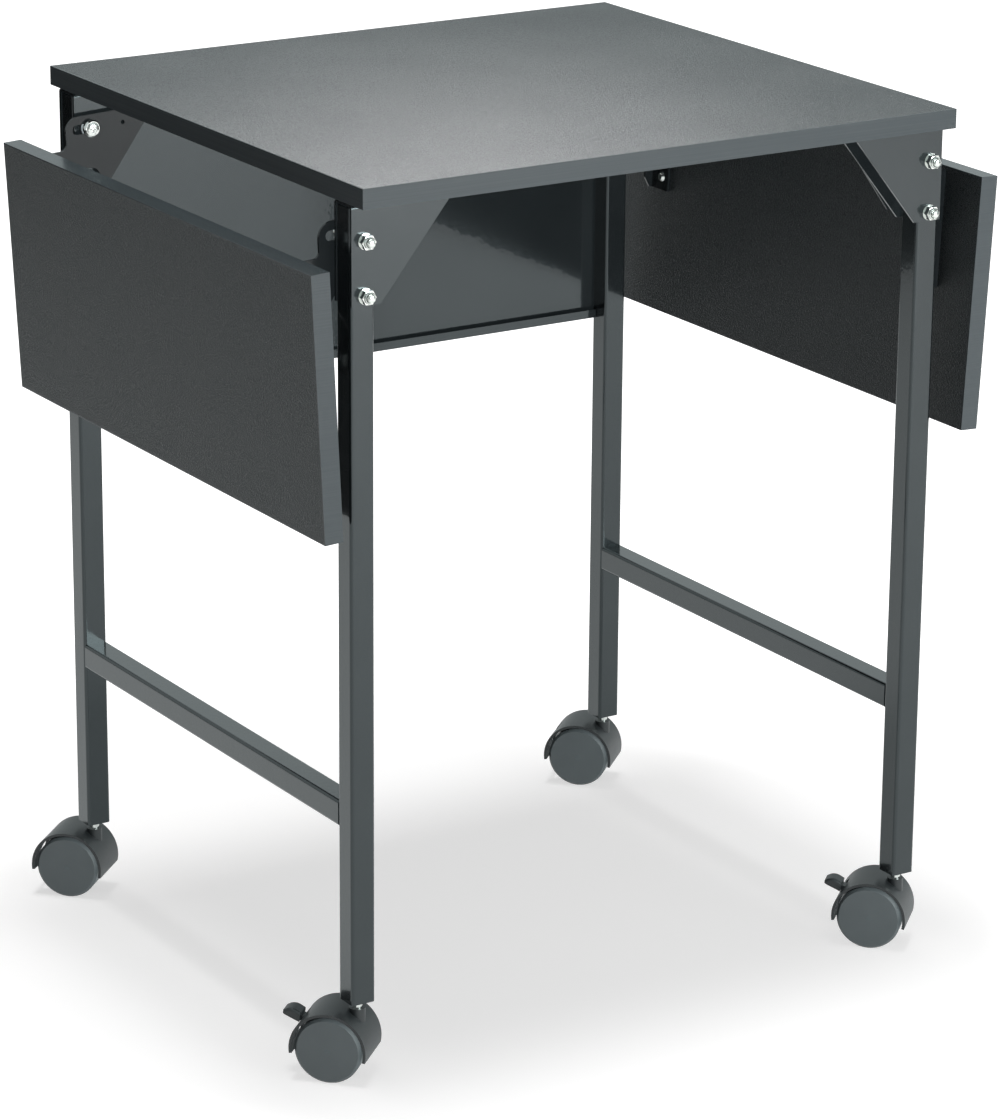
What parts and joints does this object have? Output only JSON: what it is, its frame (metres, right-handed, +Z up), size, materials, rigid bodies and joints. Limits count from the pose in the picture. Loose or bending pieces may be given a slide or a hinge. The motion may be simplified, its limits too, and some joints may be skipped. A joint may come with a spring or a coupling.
{
  "type": "typewriter table",
  "caption": "Small wheeled typing table with a square top, drop leaves on pivoting plates, slim square tube legs, a sheet back panel and twin-wheel casters, the front ones braked.",
  "frame": {"origin": "on the floor below the middle of the fixed top", "axes": "+X to the right and -Y to the front as one sits at the table, +Z up"},
  "size_m": [0.604, 0.5052, 0.688],
  "materials": {
    "board": "black textured laminate on particle board",
    "edge_band": "satin black edge band",
    "frame_enamel": "gloss black enamel",
    "panel_enamel": "gloss black enamel sheet",
    "zinc": "bright zinc plated fasteners",
    "bushing_steel": "plain turned steel",
    "caster_plastic": "moulded dark nylon",
    "wheel_plastic": "moulded dark nylon wheel",
    "lever_plastic": "moulded dark nylon lever",
    "socket_plastic": "black socket plastic"
  },
  "bodies": {
    "frame": {"top_board": "board", "top_edge_band": "edge_band", "front_left_leg": "frame_enamel", "front_right_leg": "frame_enamel", "rear_left_leg": "frame_enamel", "rear_right_leg": "frame_enamel", "left_side_rail": "frame_enamel", "right_side_rail": "frame_enamel", "front_left_corner_bracket": "frame_enamel", "front_right_corner_bracket": "frame_enamel", "rear_left_corner_bracket": "frame_enamel", "rear_right_corner_bracket": "frame_enamel", "back_panel": "panel_enamel", "pivot_bolts": "zinc", "leg_bolts": "zinc", "frame_washers": "zinc", "frame_nuts": "zinc", "bracket_screws": "zinc", "caster_sockets": "socket_plastic"},
    "left_pivot": {"left_pivot_bushings": "bushing_steel"},
    "left_leaf": {"left_leaf_board": "board", "left_leaf_edge_band": "edge_band", "front_left_leaf_bracket": "frame_enamel", "rear_left_leaf_bracket": "frame_enamel", "left_leaf_screws": "zinc"},
    "right_pivot": {"right_pivot_bushings": "bushing_steel"},
    "right_leaf": {"right_leaf_board": "board", "right_leaf_edge_band": "edge_band", "front_right_leaf_bracket": "frame_enamel", "rear_right_leaf_bracket": "frame_enamel", "right_leaf_screws": "zinc"},
    "front_left_caster": {"front_left_caster_housing": "caster_plastic", "front_left_caster_stem": "bushing_steel", "front_left_caster_axle": "bushing_steel", "front_left_brake_pin": "bushing_steel"},
    "front_left_wheel_a": {"front_left_caster_wheel_a": "wheel_plastic"},
    "front_left_wheel_b": {"front_left_caster_wheel_b": "wheel_plastic"},
    "front_left_brake": {"front_left_brake_lever": "lever_plastic"},
    "front_right_caster": {"front_right_caster_housing": "caster_plastic", "front_right_caster_stem": "bushing_steel", "front_right_caster_axle": "bushing_steel", "front_right_brake_pin": "bushing_steel"},
    "front_right_wheel_a": {"front_right_caster_wheel_a": "wheel_plastic"},
    "front_right_wheel_b": {"front_right_caster_wheel_b": "wheel_plastic"},
    "front_right_brake": {"front_right_brake_lever": "lever_plastic"},
    "rear_left_caster": {"rear_left_caster_housing": "caster_plastic", "rear_left_caster_stem": "bushing_steel", "rear_left_caster_axle": "bushing_steel"},
    "rear_left_wheel_a": {"rear_left_caster_wheel_a": "wheel_plastic"},
    "rear_left_wheel_b": {"rear_left_caster_wheel_b": "wheel_plastic"},
    "rear_right_caster": {"rear_right_caster_housing": "caster_plastic", "rear_right_caster_stem": "bushing_steel", "rear_right_caster_axle": "bushing_steel"},
    "rear_right_wheel_a": {"rear_right_caster_wheel_a": "wheel_plastic"},
    "rear_right_wheel_b": {"rear_right_caster_wheel_b": "wheel_plastic"}
  },
  "joints": [
    {"name": "left_leaf_fold", "type": "hinge", "parent": "frame", "child": "left_pivot", "pos_m": [-0.249, 0, 0.646], "axis": [0, 1, 0], "range_deg": [0, 93]},
    {"name": "left_leaf_drop", "type": "slide", "parent": "left_pivot", "child": "left_leaf", "axis": [0.9986, 0, 0.0523], "range_m": [0, 0.0117]},
    {"name": "right_leaf_fold", "type": "hinge", "parent": "frame", "child": "right_pivot", "pos_m": [0.249, 0, 0.646], "axis": [0, -1, 0], "range_deg": [0, 93]},
    {"name": "right_leaf_drop", "type": "slide", "parent": "right_pivot", "child": "right_leaf", "axis": [-0.9986, 0, 0.0523], "range_m": [0, 0.0117]},
    {"name": "front_left_swivel", "type": "hinge", "parent": "frame", "child": "front_left_caster", "pos_m": [-0.25, -0.214, 0.062], "axis": [0, 0, 1], "continuous": true},
    {"name": "front_left_wheel_a_spin", "type": "hinge", "parent": "front_left_caster", "child": "front_left_wheel_a", "pos_m": [-0.26184, -0.20139, 0.026], "axis": [0.729, 0.6845, 0], "continuous": true},
    {"name": "front_left_wheel_b_spin", "type": "hinge", "parent": "front_left_caster", "child": "front_left_wheel_b", "pos_m": [-0.26184, -0.20139, 0.026], "axis": [0.729, 0.6845, 0], "continuous": true},
    {"name": "front_left_brake_press", "type": "hinge", "parent": "front_left_caster", "child": "front_left_brake", "pos_m": [-0.27064, -0.19202, 0.04132], "axis": [-0.729, -0.6845, 0], "range_deg": [0, 25]},
    {"name": "front_right_swivel", "type": "hinge", "parent": "frame", "child": "front_right_caster", "pos_m": [0.25, -0.214, 0.062], "axis": [0, 0, 1], "continuous": true},
    {"name": "front_right_wheel_a_spin", "type": "hinge", "parent": "front_right_caster", "child": "front_right_wheel_a", "pos_m": [0.23816, -0.20139, 0.026], "axis": [0.729, 0.6845, 0], "continuous": true},
    {"name": "front_right_wheel_b_spin", "type": "hinge", "parent": "front_right_caster", "child": "front_right_wheel_b", "pos_m": [0.23816, -0.20139, 0.026], "axis": [0.729, 0.6845, 0], "continuous": true},
    {"name": "front_right_brake_press", "type": "hinge", "parent": "front_right_caster", "child": "front_right_brake", "pos_m": [0.22936, -0.19202, 0.04132], "axis": [-0.729, -0.6845, 0], "range_deg": [0, 25]},
    {"name": "rear_left_swivel", "type": "hinge", "parent": "frame", "child": "rear_left_caster", "pos_m": [-0.25, 0.214, 0.062], "axis": [0, 0, 1], "continuous": true},
    {"name": "rear_left_wheel_a_spin", "type": "hinge", "parent": "rear_left_caster", "child": "rear_left_wheel_a", "pos_m": [-0.26184, 0.22661, 0.026], "axis": [0.729, 0.6845, 0], "continuous": true},
    {"name": "rear_left_wheel_b_spin", "type": "hinge", "parent": "rear_left_caster", "child": "rear_left_wheel_b", "pos_m": [-0.26184, 0.22661, 0.026], "axis": [0.729, 0.6845, 0], "continuous": true},
    {"name": "rear_right_swivel", "type": "hinge", "parent": "frame", "child": "rear_right_caster", "pos_m": [0.25, 0.214, 0.062], "axis": [0, 0, 1], "continuous": true},
    {"name": "rear_right_wheel_a_spin", "type": "hinge", "parent": "rear_right_caster", "child": "rear_right_wheel_a", "pos_m": [0.23816, 0.22661, 0.026], "axis": [0.729, 0.6845, 0], "continuous": true},
    {"name": "rear_right_wheel_b_spin", "type": "hinge", "parent": "rear_right_caster", "child": "rear_right_wheel_b", "pos_m": [0.23816, 0.22661, 0.026], "axis": [0.729, 0.6845, 0], "continuous": true}
  ]
}
